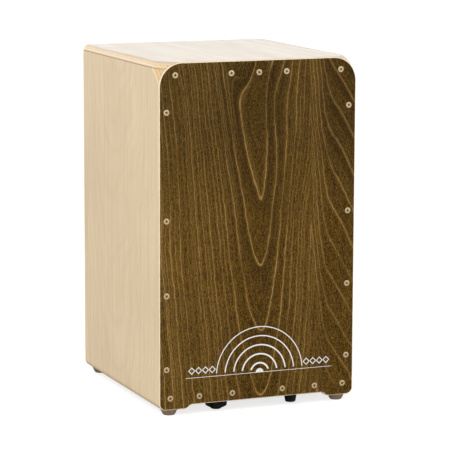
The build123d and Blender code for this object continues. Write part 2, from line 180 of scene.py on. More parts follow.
# %% Sky
horizon_strength = 2.15
zenith_strength = 0.55
world = bpy.data.worlds.new("white_sky")
bpy.context.scene.world = world
world.use_nodes = True
sky = world.node_tree
direction = sky.nodes.new("ShaderNodeTexCoord")
height = sky.nodes.new("ShaderNodeSeparateXYZ")
sky.links.new(direction.outputs["Generated"], height.inputs[0])
glow = sky.nodes.new("ShaderNodeMapRange")
glow.interpolation_type = "SMOOTHSTEP"
glow.inputs["From Min"].default_value = 0.0
glow.inputs["From Max"].default_value = 0.5
glow.inputs["To Min"].default_value = horizon_strength
glow.inputs["To Max"].default_value = zenith_strength
sky.links.new(height.outputs["Z"], glow.inputs["Value"])
sky.links.new(glow.outputs["Result"], sky.nodes["Background"].inputs["Strength"])
sky.nodes["Background"].inputs["Color"].default_value = (1.0, 0.997, 0.99, 1)
print("sky: strength", horizon_strength, "at the horizon,", zenith_strength, "overhead")

# %% [markdown]
# One large soft light from the upper left models the round edges. The sky does the rest.

# %% Soft light
light_data = bpy.data.lights.new("soft_box", "AREA")
light_data.shape = "RECTANGLE"
light_data.size = 1.6
light_data.size_y = 1.2
light_data.energy = 24
light = bpy.data.objects.new("soft_box", light_data)
light.location = (-1.6, -1.2, 1.9)
aim = Vector((0, 0, 0.25)) - light.location
light.rotation_euler = aim.to_track_quat("-Z", "Y").to_euler()
bpy.context.collection.objects.link(light)
print("soft light:", light_data.energy, "W from", round(light.location.length, 2), "m")

# %% [markdown]
# Materials are recipes of small nodes. `Finish` opens a new material, and most of its
# methods add a node and return its result, so a recipe reads like a sum.
# Patterns are laid in object coordinates: they run through a board as real grain does, so
# an edge shows what the face above it promises.


# %% Helpers for materials
class Finish:
    """A material under construction, with short names for the nodes that it needs."""

    def __init__(self, name):
        self.material = bpy.data.materials.new(name)
        self.material.use_nodes = True
        self.tree = self.material.node_tree
        self.shader = self.tree.nodes["Principled BSDF"]
        coordinates = self.tree.nodes.new("ShaderNodeTexCoord")
        split = self.tree.nodes.new("ShaderNodeSeparateXYZ")
        self.place = coordinates.outputs["Object"]
        self.tree.links.new(self.place, split.inputs[0])
        self.x, self.y, self.z = split.outputs

    def join(self, value, socket):
        """A number is written on the socket, and a node's result is linked to it."""
        if isinstance(value, bpy.types.NodeSocket):
            self.tree.links.new(value, socket)
        else:
            socket.default_value = value

    def math(self, operation, *values):
        node = self.tree.nodes.new("ShaderNodeMath")
        node.operation = operation
        for value, socket in zip(values, node.inputs):
            self.join(value, socket)
        return node.outputs[0]

    def sum(self, *values):
        total = values[0]
        for value in values[1:]:
            total = self.math("ADD", total, value)
        return total

    def product(self, *values):
        total = values[0]
        for value in values[1:]:
            total = self.math("MULTIPLY", total, value)
        return total

    def less(self, first, second):
        return self.math("SUBTRACT", first, second)

    def above_zero(self, value):
        return self.math("MAXIMUM", value, 0.0)

    def squared(self, value):
        return self.math("MULTIPLY", value, value)

    def noise(self, x, y, z, shift=0.0, detail=2.0, roughness=0.5):
        """Soft noise from 0 to 1, mostly near 0.5. x, y and z are its cycles per metre."""
        spread = self.tree.nodes.new("ShaderNodeMapping")
        spread.inputs["Scale"].default_value = (x, y, z)
        spread.inputs["Location"].default_value = (shift, shift * 0.7, shift * 1.3)
        self.tree.links.new(self.place, spread.inputs["Vector"])
        node = self.tree.nodes.new("ShaderNodeTexNoise")
        node.inputs["Scale"].default_value = 1.0
        node.inputs["Detail"].default_value = detail
        node.inputs["Roughness"].default_value = roughness
        self.tree.links.new(spread.outputs[0], node.inputs["Vector"])
        return node.outputs[0]

    def lottery(self, number):
        """A random number from 0 to 1 that stays the same for the same whole number."""
        node = self.tree.nodes.new("ShaderNodeTexWhiteNoise")
        node.noise_dimensions = "1D"
        self.join(number, node.inputs["W"])
        return node.outputs["Value"]

    def ramp(self, value, low, high, start=0.0, end=1.0):
        """value from low to high becomes start to end, smoothly, and stops there."""
        node = self.tree.nodes.new("ShaderNodeMapRange")
        node.interpolation_type = "SMOOTHSTEP"
        for socket, given in zip(node.inputs, (value, low, high, start, end)):
            self.join(given, socket)
        return node.outputs[0]

    def mix(self, share, first, second):
        """Two colours mixed by a share from 0 to 1."""
        node = self.tree.nodes.new("ShaderNodeMix")
        node.data_type = "RGBA"
        for value, socket in ((share, 0), (first, 6), (second, 7)):
            self.join(value, node.inputs[socket])
        return node.outputs[2]

    def bump(self, height, strength, distance=0.0002):
        node = self.tree.nodes.new("ShaderNodeBump")
        node.inputs["Strength"].default_value = strength
        node.inputs["Distance"].default_value = distance
        self.tree.links.new(height, node.inputs["Height"])
        self.tree.links.new(node.outputs[0], self.shader.inputs["Normal"])

    def set(self, **values):
        for name, value in values.items():
            self.join(value, self.shader.inputs[name.replace("_", " ")])
        return self.material


# %% [markdown]
# Colours are easiest to choose as they look on a screen. A shader counts light instead, so
# each one is converted on its way in.


# %% Colours
def colour(red, green, blue):
    """A colour given as it looks on a screen, 0 to 255, as the linear one a shader needs."""
    def linear(value):
        value = max(value, 0) / 255
        return value / 12.92 if value <= 0.04045 else ((value + 0.055) / 1.055) ** 2.4
    return (linear(red), linear(green), linear(blue), 1.0)


# %% [markdown]
# The front plate is birch under a dark walnut stain. A saw or knife that slices along the
# growth rings leaves each ring as a tall pointed arch. Blender's wave texture draws bands
# and rings, but no such arches. So the figure is worked out as a height: the place on the
# plate, less a climb on each side of a centre line. Points of equal height belong to one ring. All
# lengths of this figure are in millimetres. Three noises shake the place first, because
# nothing in wood runs quite straight.


# %% Shaken place on the front plate
def shaken_place(finish):
    """Where a point lies, across and up, moved aside by a little of three noises."""
    wander = finish.less(finish.noise(16, 16, 7, 3.1, 1.0), 0.5)
    waver = finish.less(finish.noise(85, 85, 60, 7.7), 0.5)
    jitter = finish.less(finish.noise(420, 420, 300, 5.3, 1.0), 0.5)
    shaken = finish.sum(finish.product(wander, 13.0), finish.product(waver, 3.4), finish.product(jitter, 1.6))
    x = finish.math("MULTIPLY_ADD", finish.x, 1000, shaken)
    z = finish.math("MULTIPLY", finish.z, 1000)
    return x, z


# %% [markdown]
# The first set of arches stands near the middle, steeper on its right than on its left.
# Two hollows near the top close the first ring and narrow it on the right. Below the crown
# a new ring comes every 94 mm, and above it the rings are wider apart.


# %% First arches
crown = 302.0
ring_height = 94.0
inner_ring_height = 230.0
closing_hollow = (-16.0, 505.0, 24.0, 48.0, 225.0)
narrowing_hollow = (24.0, 440.0, 20.0, 70.0, 92.0)


def first_arches(finish, x, z):
    """How many rings in a point lies, and how many rings a millimetre holds there."""
    less, squared, above_zero, math = finish.less, finish.squared, finish.above_zero, finish.math
    centre = math("MULTIPLY_ADD", above_zero(less(z, 380.0)), -0.05, 4.0)
    blunt = math("MULTIPLY_ADD", above_zero(less(290.0, z)), 1.6, 12.0)
    level = z
    pull = 0.0
    for distance, slope, widening in ((less(centre, x), 3.0, 26.0), (less(x, centre), 5.6, 30.0)):
        distance = above_zero(distance)
        root = math("SQRT", finish.sum(squared(distance), blunt))
        climb = math("MULTIPLY", less(root, math("SQRT", blunt)), slope)
        level = less(level, math("MULTIPLY_ADD", squared(distance), 1 / widening, climb))
        bend = math("DIVIDE", math("MULTIPLY", distance, slope), root)
        steepness = math("MULTIPLY_ADD", distance, 2 / widening, bend)
        pull = math("ADD", steepness, pull)
    for middle_x, middle_z, wide, tall, depth in (closing_hollow, narrowing_hollow):
        away = finish.sum(squared(math("DIVIDE", less(x, middle_x), wide)),
                          squared(math("DIVIDE", less(z, middle_z), tall)))
        level = math("MULTIPLY_ADD", math("EXPONENT", math("MULTIPLY", away, -1.0)), -depth, level)
    below = less(crown, level)
    inside = above_zero(math("MULTIPLY", below, -1.0))
    rings = less(math("DIVIDE", above_zero(below), ring_height), math("DIVIDE", inside, inner_ring_height))
    crowd = math("DIVIDE", math("SQRT", math("ADD", squared(pull), 1.0)), ring_height)
    return rings, crowd


# %% [markdown]
# A second, flatter set of arches has its middle beyond the right edge. Where the two sets
# meet, a point belongs to the set that puts it in fewer rings.


# %% Second arches, and the whole figure
second_middle = 178.0
second_ring_height = 50.0
straight_reach = 66.0


def second_arches(finish, x, z):
    """The same two numbers for the flatter arches, which run straight near their middle."""
    less, squared, math = finish.less, finish.squared, finish.math
    aside = less(second_middle, x)
    outer = finish.above_zero(less(aside, straight_reach))
    climb = math("MULTIPLY_ADD", squared(outer), 0.16, math("MULTIPLY", aside, 1.65))
    rings = math("MULTIPLY_ADD", finish.sum(less(crown, z), climb), 1 / second_ring_height, 0.6)
    pull = math("MULTIPLY_ADD", outer, 0.32, 1.65)
    crowd = math("DIVIDE", math("SQRT", math("ADD", squared(pull), 1.0)), second_ring_height)
    return rings, crowd


def plate_rings(finish):
    x, z = shaken_place(finish)
    first, first_crowd = first_arches(finish, x, z)
    second, second_crowd = second_arches(finish, x, z)
    in_second = finish.math("GREATER_THAN", first, second)
    in_first = finish.less(1.0, in_second)
    crowd = finish.sum(finish.product(first_crowd, in_first), finish.product(second_crowd, in_second))
    return finish.math("MINIMUM", first, second), crowd, x


# %% [markdown]
# The stain takes badly on the ring lines, which stay golden. A line is drawn where the
# count of rings is whole. Rings that are crowded get thinner lines. Beyond the first few,
# each ring draws a strength of its own by lot, since no two years grow the same wood.


# %% Ring lines
def ring_lines(finish, rings, crowd, shift, width, weakest, seed):
    """Thin lines where rings + shift is whole. Each ring has a strength of its own."""
    shifted = finish.math("ADD", rings, shift)
    whole = finish.math("ROUND", shifted)
    gap = finish.math("DIVIDE", finish.math("ABSOLUTE", finish.less(shifted, whole)), crowd)
    own = finish.ramp(finish.lottery(finish.math("ADD", whole, seed)), 0.0, 1.0, weakest, 1.0)
    early = finish.ramp(whole, 3.4, 2.6)
    own = finish.math("MAXIMUM", own, early)
    along = finish.ramp(finish.noise(26, 26, 9, seed), 0.3, 0.6, 0.4, 1.0)
    reach = finish.math("MINIMUM", finish.math("DIVIDE", 0.034, crowd), 3.0)
    reach = finish.math("MULTIPLY", finish.math("MAXIMUM", reach, 0.9), width)
    core = finish.ramp(gap, reach, 0.1)
    glow = finish.ramp(gap, 4.5, 0.0, 0.0, 0.22)
    return finish.product(finish.math("MAXIMUM", core, glow), along, own)


# %% [markdown]
# At the plate's rounded rim the stain was sanded away, so the bare plies of the edge show
# there. One material does both, because it knows how deep below the face a point lies. A
# noise moves that depth a little, since nobody sands a perfectly straight edge. The plies
# are paler than the birch of the boards, which is partly a painted highlight for the light the
# round rim catches. They turn dark towards the back of the plate, as painted shade where it meets the box.


# %% Bare rim
def bare_rim(finish, fibre):
    """Where the stain is sanded away, and the colour of the plies that show there, with painted highlight and
    painted shade in it.
    """
    depth = finish.less(finish.y, front)
    uneven = finish.less(finish.noise(300, 300, 300, 1.0), 0.5)
    ragged = finish.math("MULTIPLY_ADD", uneven, 0.3 * mm, depth)
    bare = finish.ramp(ragged, 0.06 * mm, 0.22 * mm)
    plies = finish.ramp(finish.math("PINGPONG", finish.math("DIVIDE", depth, 1.0 * mm), 1.0), 0.3, 0.7)
    # The plies are paler than the birch of the boards: bare wood, lightened by a painted highlight for the
    # light the round rim catches.
    wood = finish.mix(plies, colour(252, 236, 208), colour(240, 216, 178))
    wood = finish.mix(finish.ramp(fibre, 0.4, 0.7, 0.0, 0.3), wood, colour(222, 188, 140))
    # Towards the back of the plate, where it meets the box, the plies turn dark: painted shade.
    wood = finish.mix(finish.ramp(depth, 2.5 * mm, 2.95 * mm, 0.0, 0.8), wood, colour(150, 110, 66))
    return bare, wood


# %% [markdown]
# The stain itself is built up in layers, as a picture is glazed: a brown ground, dark and
# light fibres, grit, pores where it sank in and went black, the ring lines, and last a veil
# that darkens the plate towards its top. The order matters, as each layer covers the ones
# before it by a share of its own.


# %% Stained birch
def stained_birch():
    finish = Finish("walnut_stained_birch")
    rings, crowd, x = plate_rings(finish)
    bold = ring_lines(finish, rings, crowd, 0.0, 0.9, 0.2, 3.0)
    faint = finish.math("MAXIMUM", ring_lines(finish, rings, crowd, 0.5, 0.8, 0.2, 11.0),
                        ring_lines(finish, rings, crowd, 0.27, 0.7, 0.0, 23.0))
    outward = finish.ramp(finish.math("ABSOLUTE", finish.less(x, 5.0)), 25.0, 60.0, 0.1, 0.6)
    outward = finish.product(outward, finish.ramp(x, 70.0, 110.0, 1.0, 0.3))
    broken = finish.ramp(finish.noise(900, 900, 120, 6.0), 0.3, 0.6, 0.6, 1.0)
    line = finish.product(finish.math("MAXIMUM", bold, finish.product(faint, outward)), broken)

    fibre = finish.noise(820, 820, 80, 2.0, 4.0, 0.85)
    grit = finish.noise(820, 820, 330, 12.0, 3.0, 0.8)
    streak = finish.noise(150, 150, 5, 5.0, 3.0, 0.65)
    cloud = finish.noise(13, 13, 6, 9.0, 3.0, 0.55)
    pores = finish.ramp(finish.noise(1300, 1300, 130, 4.0, 1.0), 0.56, 0.66)
    stain = finish.mix(finish.ramp(cloud, 0.3, 0.7), colour(76, 50, 3), colour(91, 63, 8))
    stain = finish.mix(finish.ramp(streak, 0.4, 0.68, 0.0, 0.7), stain, colour(54, 34, 2))
    stain = finish.mix(finish.ramp(fibre, 0.48, 0.68, 0.0, 0.9), stain, colour(124, 92, 27))
    stain = finish.mix(finish.ramp(fibre, 0.50, 0.33), stain, colour(44, 26, 0))
    stain = finish.mix(finish.ramp(grit, 0.49, 0.64, 0.0, 0.8), stain, colour(138, 105, 40))
    stain = finish.mix(finish.ramp(grit, 0.5, 0.36, 0.0, 0.8), stain, colour(34, 18, 0))
    stain = finish.mix(finish.product(pores, 0.6), stain, colour(26, 14, 0))
    past_line = finish.math("DIVIDE", finish.less(rings, finish.math("FLOOR", rings)), crowd)
    shade = finish.product(finish.ramp(past_line, 0.0, 18.0, 0.4, 0.0), finish.ramp(rings, 2.6, 1.6))
    stain = finish.mix(shade, stain, colour(44, 28, 2))
    stain = finish.mix(finish.product(line, 0.85), stain, colour(200, 157, 88))
    stain = finish.mix(finish.ramp(finish.z, 0.4 * top, 0.9 * top, 0.0, 0.3), stain, colour(22, 14, 2))

    bare, wood = bare_rim(finish, fibre)
    finish.set(Base_Color=finish.mix(bare, stain, wood), Roughness=finish.ramp(fibre, 0.3, 0.7, 0.5, 0.66),
               Specular_IOR_Level=0.09)
    relief = finish.sum(finish.product(fibre, 0.6), finish.product(pores, -0.8))
    finish.bump(finish.product(relief, finish.less(1.0, bare)), 0.25)
    return finish.material


# %% [markdown]
# The bare boards are clear-lacquered birch. Birch is pale and its rings hardly show, so the
# figure stays faint: soft streaks along the grain, a few wide arches, and a shimmer of
# fibres. Where a board is cut or rounded over, its glued plies come to light as thin bands,
# and the plies that run across show their end grain: a little darker, with short open
# pores. The lacquer is a second, clearer skin, so it gets the shader's own coat.


# %% Clear birch
def clear_birch(name, along, face, face_axis, tint, edge_tint, coat=0.15, arch_middle=0.02, layer=1.5 * mm,
                thick=9.0 * mm, joints=(), figure=1.0, bands=0.85):
    """along is the grain's direction. The plies are counted from both faces, along face_axis.
    joints are planes with a dark line of painted shade, figure the strength of the grain, bands that of the
    plies."""
    finish = Finish(name)
    place = {"x": finish.x, "y": finish.y, "z": finish.z}
    stretch = [0.04 if axis == along else 1.0 for axis in "xyz"]
    sideways = next(axis for axis in "xyz" if axis not in (along, face_axis))

    def grain(cycles, shift, detail=2.0, roughness=0.5):
        return finish.noise(*(cycles * s for s in stretch), shift, detail, roughness)

    swirl = finish.product(finish.less(finish.noise(9, 9, 9, 4.0, 3.0), 0.5), 0.22)
    from_middle = finish.math("ADD", finish.less(place[sideways], arch_middle), finish.product(swirl, 0.25))
    level = finish.sum(place[along], swirl, finish.product(finish.squared(from_middle), -22.0))
    arch = finish.math("PINGPONG", finish.product(level, 26.0), 1.0)
    streak = grain(120, 5.0, 4.0, 0.65)
    fibre = grain(620, 8.0, 3.0, 0.65)
    cloud = finish.noise(9, 9, 9, 6.0, 2.0)
    pores = finish.ramp(grain(1500, 2.0, 1.0), 0.6, 0.7)
    deep_tint = colour(*(v * f for v, f in zip(tint, (0.93, 0.89, 0.82))))
    base = finish.mix(finish.ramp(cloud, 0.3, 0.7), colour(*tint), colour(*(v + 6 for v in tint)))
    base = finish.mix(finish.ramp(streak, 0.38, 0.7, 0.0, 0.75 * figure), base, deep_tint)
    base = finish.mix(finish.ramp(arch, 0.55, 1.0, 0.0, 0.4 * figure), base, deep_tint)
    base = finish.mix(finish.ramp(fibre, 0.5, 0.75, 0.0, 0.5 * figure), base, deep_tint)
    base = finish.mix(finish.product(pores, 0.3 * figure), base, colour(*(v * 0.8 for v in tint)))

    depth = finish.math("ABSOLUTE", finish.less(place[face_axis], face))
    depth = finish.math("MINIMUM", depth, finish.less(thick, depth))
    cut_open = finish.ramp(depth, 0.5 * layer, 0.9 * layer)
    turn = finish.math("PINGPONG", finish.math("DIVIDE", depth, layer), 1.0)
    end_grain = finish.ramp(turn, 0.3, 0.7)
    pits = finish.ramp(finish.noise(420, 420, 420, 1.0, 2.0), 0.57, 0.68)
    light_ply = colour(*(v * 1.1 for v in edge_tint))
    edge = finish.mix(finish.product(end_grain, bands), light_ply, colour(*edge_tint))
    edge = finish.mix(finish.product(pits, end_grain, 0.6), edge, colour(*(v * 0.66 for v in edge_tint)))
    base = finish.mix(cut_open, base, edge)
    # A dark line at each joint is painted shade, for the shadow in the narrow gap between two boards.
    for axis, plane in joints:
        from_joint = finish.math("ABSOLUTE", finish.less(place[axis], plane))
        joint_gap_shade = finish.ramp(from_joint, 0.7 * mm, 0.1 * mm, 0.0, 0.85)
        base = finish.mix(joint_gap_shade, base, colour(142, 100, 56))
    finish.set(Base_Color=base, Roughness=finish.ramp(streak, 0.3, 0.7, 0.32, 0.42), Coat_Weight=coat,
               Coat_Roughness=0.18, Specular_IOR_Level=0.35)
    finish.bump(finish.sum(finish.product(fibre, 0.5), finish.product(pores, -0.5),
                           finish.product(pits, end_grain, cut_open, -1.0)), 0.16)
    return finish.material


# %% [markdown]
# The battens and cleats are planed softwood. Only an eye at the sound hole sees them, so
# one recipe with a grain direction serves them all.


# %% Batten wood
def batten_wood(name, along):
    finish = Finish(name)
    stretch = [0.03 if axis == along else 1.0 for axis in "xyz"]
    bands = finish.noise(*(60 * s for s in stretch), 2.0, 1.0)
    rings = finish.math("PINGPONG", finish.product(bands, 14.0), 1.0)
    fibre = finish.noise(*(900 * s for s in stretch), 5.0, 3.0, 0.6)
    base = finish.mix(finish.ramp(rings, 0.35, 0.95), colour(218, 190, 142), colour(180, 140, 88))
    base = finish.mix(finish.ramp(fibre, 0.45, 0.75, 0.0, 0.4), base, colour(160, 122, 74))
    finish.bump(fibre, 0.3)
    return finish.set(Base_Color=base, Roughness=0.75)


# %% [markdown]
# Metals mirror. What tells one from another is the tint and the blur of the mirror, and
# fine scratches break the highlight up. A wound wire also has the ridges of its winding.


# %% Metals
def metal(name, tint, dull, low, high, cycles=900, winding=None):
    finish = Finish(name)
    scratch = finish.noise(cycles, cycles, cycles * 0.3, 1.0, 4.0, 0.6)
    base = finish.mix(finish.ramp(scratch, 0.3, 0.75), colour(*tint), colour(*dull))
    relief = finish.product(scratch, 0.3)
    if winding:
        ridge = finish.math("PINGPONG", finish.math("DIVIDE", finish.z, winding), 1.0)
        relief = finish.sum(relief, ridge)
    finish.bump(relief, 0.25, 0.0001)
    return finish.set(Base_Color=base, Metallic=1.0, Roughness=finish.ramp(scratch, 0.3, 0.7, low, high))


# %% [markdown]
# The feet are smoky rubber that lets a little light in at its thin rim. The knobs are
# black moulded plastic with a fine spark-eroded grain, and the ornament is screen paint.


# %% Rubber, plastic and paint
def moulded(name, tint, low, high, cycles, gloss=0.35, milky=0.0):
    finish = Finish(name)
    grain = finish.noise(cycles, cycles, cycles, 3.0, 3.0, 0.6)
    base = finish.mix(finish.ramp(grain, 0.3, 0.75), colour(*tint), colour(*(v * 0.94 for v in tint)))
    finish.set(Base_Color=base, Roughness=finish.ramp(grain, 0.3, 0.7, low, high), Specular_IOR_Level=gloss)
    if milky:
        finish.set(Subsurface_Weight=milky, Subsurface_Scale=0.003)
        finish.shader.inputs["Subsurface Radius"].default_value = (1.0, 0.7, 0.5)
    finish.bump(grain, 0.12, 0.0001)
    return finish.material


def screen_paint():
    finish = Finish("white_screen_paint")
    thin = finish.ramp(finish.noise(760, 760, 60, 2.0, 3.0, 0.7), 0.58, 0.74, 0.0, 0.5)
    base = finish.mix(thin, colour(250, 248, 243), colour(196, 182, 156))
    finish.bump(thin, 0.1)
    dull = finish.ramp(thin, 0.0, 0.5, 0.5, 0.6)
    return finish.set(Base_Color=base, Roughness=dull, Specular_IOR_Level=0.2)


# %% [markdown]
# Now each recipe is made, once for each finish. A board's finish needs to know where its
# outer face lies and how thick it is, to place the plies, so boards that face different
# ways can't share one. The seat and both sides are also told where a neighbour is glued on,
# and draw a dark line of painted shade there, for the shadow in the joint's narrow gap.

# %% All finishes
pale = (228, 206, 170)
wall = seat_high.z - seat_low.z
skid_low, skid_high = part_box("left_skid")
cut_ply = (206, 172, 126)
seat_joint = ("z", seat_low.z)
plate_joint = ("y", plate_high.y)
finishes = {
    "stained": stained_birch(),
    "left_side": clear_birch("birch_left_side", "z", -half_width, "x", pale, cut_ply, thick=wall,
                             joints=(seat_joint, plate_joint), figure=0.6),
    "right_side": clear_birch("birch_right_side", "z", half_width, "x", pale, cut_ply, arch_middle=-0.03,
                              thick=wall, joints=(seat_joint, plate_joint), figure=0.6),
    # The seat is the same birch as the sides. Its darker, greyer tint is partly painted light: it is set so
    # that the brightly lit top, with the pale sheen of its lacquer, comes out right.
    "seat": clear_birch("birch_seat", "y", top, "z", (213, 198, 176), (214, 188, 152), coat=0.18, thick=wall,
                        joints=(seat_joint, plate_joint), figure=0.3, bands=0.6),
    "floor_board": clear_birch("birch_floor_board", "y", bottom_low.z, "z", pale, cut_ply, thick=wall),
    "skid": clear_birch("birch_skid", "y", skid_low.z, "z", pale, cut_ply, thick=skid_high.z - skid_low.z),
    "back": clear_birch("birch_back", "z", back, "y", pale, cut_ply, layer=1.0 * mm,
                        thick=back_high.y - back_low.y),
    "batten_x": batten_wood("batten_across", "x"),
    "batten_y": batten_wood("batten_deep", "y"),
    "batten_z": batten_wood("batten_upright", "z"),
    "screw": metal("yellow_zinc", (236, 214, 172), (210, 184, 140), 0.36, 0.5),
    # The recess metal is darker than the head's zinc: painted shade for the inside of the driver's recess.
    "recess": metal("recess_painted_shade", (128, 108, 76), (84, 68, 42), 0.5, 0.7),
    "zinc": metal("bright_zinc", (196, 198, 202), (160, 163, 168), 0.26, 0.42),
    "brass": metal("plain_brass", (206, 170, 92), (170, 134, 66), 0.25, 0.4),
    "aluminium": metal("satin_aluminium", (205, 207, 210), (178, 180, 184), 0.32, 0.46),
    "wire": metal("wound_wire", (196, 190, 178), (150, 142, 128), 0.24, 0.36, 2600, 0.35 * mm),
    "rubber": moulded("smoky_rubber", (150, 130, 110), 0.36, 0.52, 220, milky=0.3),
    "knob": moulded("black_plastic", (13, 12, 11), 0.34, 0.48, 1600, gloss=0.25),
    "nylon": moulded("natural_nylon", (222, 220, 210), 0.4, 0.5, 1600),
    "paint": screen_paint(),
}
print("finishes:", len(finishes))

# %% [markdown]
# Most pieces are shaped in edit mode, as by hand. An operator acts on all that is selected,
# so these helpers select a piece alone, open it with only the wanted faces selected, and
# close it again. `settle` ends the work on a piece: it applies what is still live and bakes
# its place and turn into its mesh, so that grain can't slide on it later.


# %% Helpers for shaping
def lone(piece):
    """Select this piece alone, and make it active."""
    bpy.ops.object.select_all(action="DESELECT")
    piece.select_set(True)
    bpy.context.view_layer.objects.active = piece


def pick(piece, wanted):
    """Open a piece for editing, with only the wanted faces selected."""
    lone(piece)
    bpy.ops.object.mode_set(mode="EDIT")
    bpy.ops.mesh.select_mode(type="FACE")
    bpy.ops.mesh.select_all(action="DESELECT")
    bpy.ops.object.mode_set(mode="OBJECT")
    for face in piece.data.polygons:
        face.select = wanted(face)
    bpy.ops.object.mode_set(mode="EDIT")


def close():
    bpy.ops.object.mode_set(mode="OBJECT")


def extrude(offset, grow=1.0, centre=(0, 0, 0)):
    """Pull the selected faces out by offset, and scale their new outline about centre."""
    bpy.ops.mesh.extrude_region_move(TRANSFORM_OT_translate={"value": offset})
    if grow != 1.0:
        bpy.ops.transform.resize(value=(grow, grow, grow), center_override=centre)


def settle(piece, angle=35):
    """Apply modifiers, place and turn. Soft edges then shade smooth, and big faces stay even."""
    lone(piece)
    for modifier in list(piece.modifiers):
        bpy.ops.object.modifier_apply(modifier=modifier.name)
    bpy.ops.object.transform_apply(location=True, rotation=True, scale=True)
    bpy.ops.object.shade_smooth_by_angle(angle=radians(angle))
    even = piece.modifiers.new("even", "WEIGHTED_NORMAL")
    even.keep_sharp = True
    even.weight = 100
    bpy.ops.object.modifier_apply(modifier="even")
    return piece


def ease(piece, width, angle=40, segments=2):
    """Round the edges that are sharper than angle."""
    bevel = piece.modifiers.new("ease", "BEVEL")
    bevel.width = width
    bevel.segments = segments
    bevel.limit_method = "ANGLE"
    bevel.angle_limit = radians(angle)


# %% [markdown]
# `dress` gives a piece its finish and its body, and hides the solids that it stands in for.
# The boards of bare birch each have a finish of their own.


def dress(piece, finish, body, *replaced):
    """Give a bare piece its finish and its body, and hide the solids that it replaces."""
    if not piece.data.materials:
        piece.data.materials.append(finishes[finish])
    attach(piece, body)
    if replaced:
        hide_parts(*replaced)
    return piece


# %% [markdown]
# The solids arrive with sharp arrises, and no real board has those. Each wooden piece is
# copied, its loose triangles are welded and flattened back into clean faces, and a small
# bevel eases its edges. The copy then stands for the solid.


# %% Copies of solids
def clean_copy(node, name):
    """A bare, welded copy of a solid, with its flat faces whole again."""
    piece = nodes[node].copy()
    piece.data = nodes[node].data.copy()
    piece.data.materials.clear()
    piece.name = name
    piece.parent = None
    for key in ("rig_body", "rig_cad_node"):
        del piece[key]
    bpy.context.collection.objects.link(piece)
    lone(piece)
    bpy.ops.object.mode_set(mode="EDIT")
    bpy.ops.mesh.select_all(action="SELECT")
    bpy.ops.mesh.remove_doubles(threshold=0.001 * mm)
    bpy.ops.mesh.dissolve_limited(angle_limit=radians(0.5))
    close()
    return piece


def eased_copy(node, finish, body="box", width=0.4 * mm):
    piece = clean_copy(node, node + "_eased")
    ease(piece, width)
    return dress(settle(piece), finish, body, node)


def boxes_of(node):
    """The lowest and highest corner of each separate solid in a node that groups several."""
    clean_copy(node, "apart")
    bpy.ops.object.mode_set(mode="EDIT")
    bpy.ops.mesh.select_all(action="SELECT")
    bpy.ops.mesh.separate(type="LOOSE")
    close()
    found = []
    for part in list(bpy.context.selected_objects):
        corners = [part.matrix_world @ Vector(corner) for corner in part.bound_box]
        found.append((Vector(map(min, zip(*corners))), Vector(map(max, zip(*corners)))))
        bpy.data.objects.remove(part)
    return sorted(found, key=lambda pair: tuple(pair[0]))


# %% [markdown]
# The eight boards come first. The seat is eased the most, as a player's legs hang over its
# edge, and the thin plate the least.

# %% Boards
boards = [
    eased_copy("front_plate", "stained", width=0.25 * mm),
    eased_copy("seat_panel", "seat", width=0.5 * mm),
    eased_copy("left_side_panel", "left_side"),
    eased_copy("right_side_panel", "right_side"),
    eased_copy("bottom_panel", "floor_board"),
    eased_copy("left_skid", "skid"),
    eased_copy("right_skid", "skid"),
    eased_copy("back_panel", "back"),
]
print("boards:", len(boards))

# %% [markdown]
# The battens and cleats are eased a little more than the boards, and their grain follows
# their longest side, as it does when strips are sawn from a plank.

# %% Battens and cleats
for name in sorted(nodes):
    if name.endswith(("_batten", "_cleat")):
        low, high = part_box(name)
        spans = list(high - low)
        longest = "xyz"[spans.index(max(spans))]
        eased_copy(name, "batten_" + longest, width=0.6 * mm)
        print("eased:", name, "with its grain along", longest)

# %% [markdown]
# A real wood screw is forged and its thread is rolled. Here it grows from one disc, which
# becomes the head. The underside is pulled down to a countersunk cone, a shank with ridges
# for the thread, and a point. A true helix would take many more faces, and all but the head
# is buried in wood, so rings do. It is made once, under the origin, and copied.


# %% A screw without its recess
head_rim = 0.25 * mm
thread_pitch = 1.8 * mm
thread_swell = 1.22


def screw_blank(head, core, length):
    """A countersunk screw, head up, with the head's top at the origin."""
    bpy.ops.object.select_all(action="DESELECT")
    bpy.ops.mesh.primitive_cylinder_add(vertices=40, radius=head, depth=head_rim,
                                        location=(0, 0, -head_rim / 2))
    screw = bpy.context.object
    pick(screw, lambda face: face.normal.z < -0.9)
    cone = head - core
    extrude((0, 0, -cone), core / head)
    for ridge in range(int((length - head_rim - cone - 2 * thread_pitch) / thread_pitch)):
        extrude((0, 0, -thread_pitch * 0.7), thread_swell)
        extrude((0, 0, -thread_pitch * 0.3), 1 / thread_swell)
    extrude((0, 0, -thread_pitch * 1.5), 0.12)
    close()
    pick(screw, lambda face: face.normal.z > 0.9)
    bpy.ops.mesh.inset(thickness=0.5 * mm, depth=0.14 * mm)
    close()
    lone(screw)
    bpy.ops.object.transform_apply(location=True, rotation=True, scale=True)
    return screw


# %% [markdown]
# The driver's cross is punched into the head. Here two bars that narrow downward are cut
# out of it, and a cone that deepens the middle, so these three cutters come first.


# %% The driver's recess
recess_length = 4.8 * mm
recess_width = 1.25 * mm
recess_depth = 2.4 * mm
recess_middle = -0.9 * mm
well_top, well_tip = 1.1 * mm, 0.3 * mm
well_depth = 2.6 * mm
well_middle = -1.1 * mm


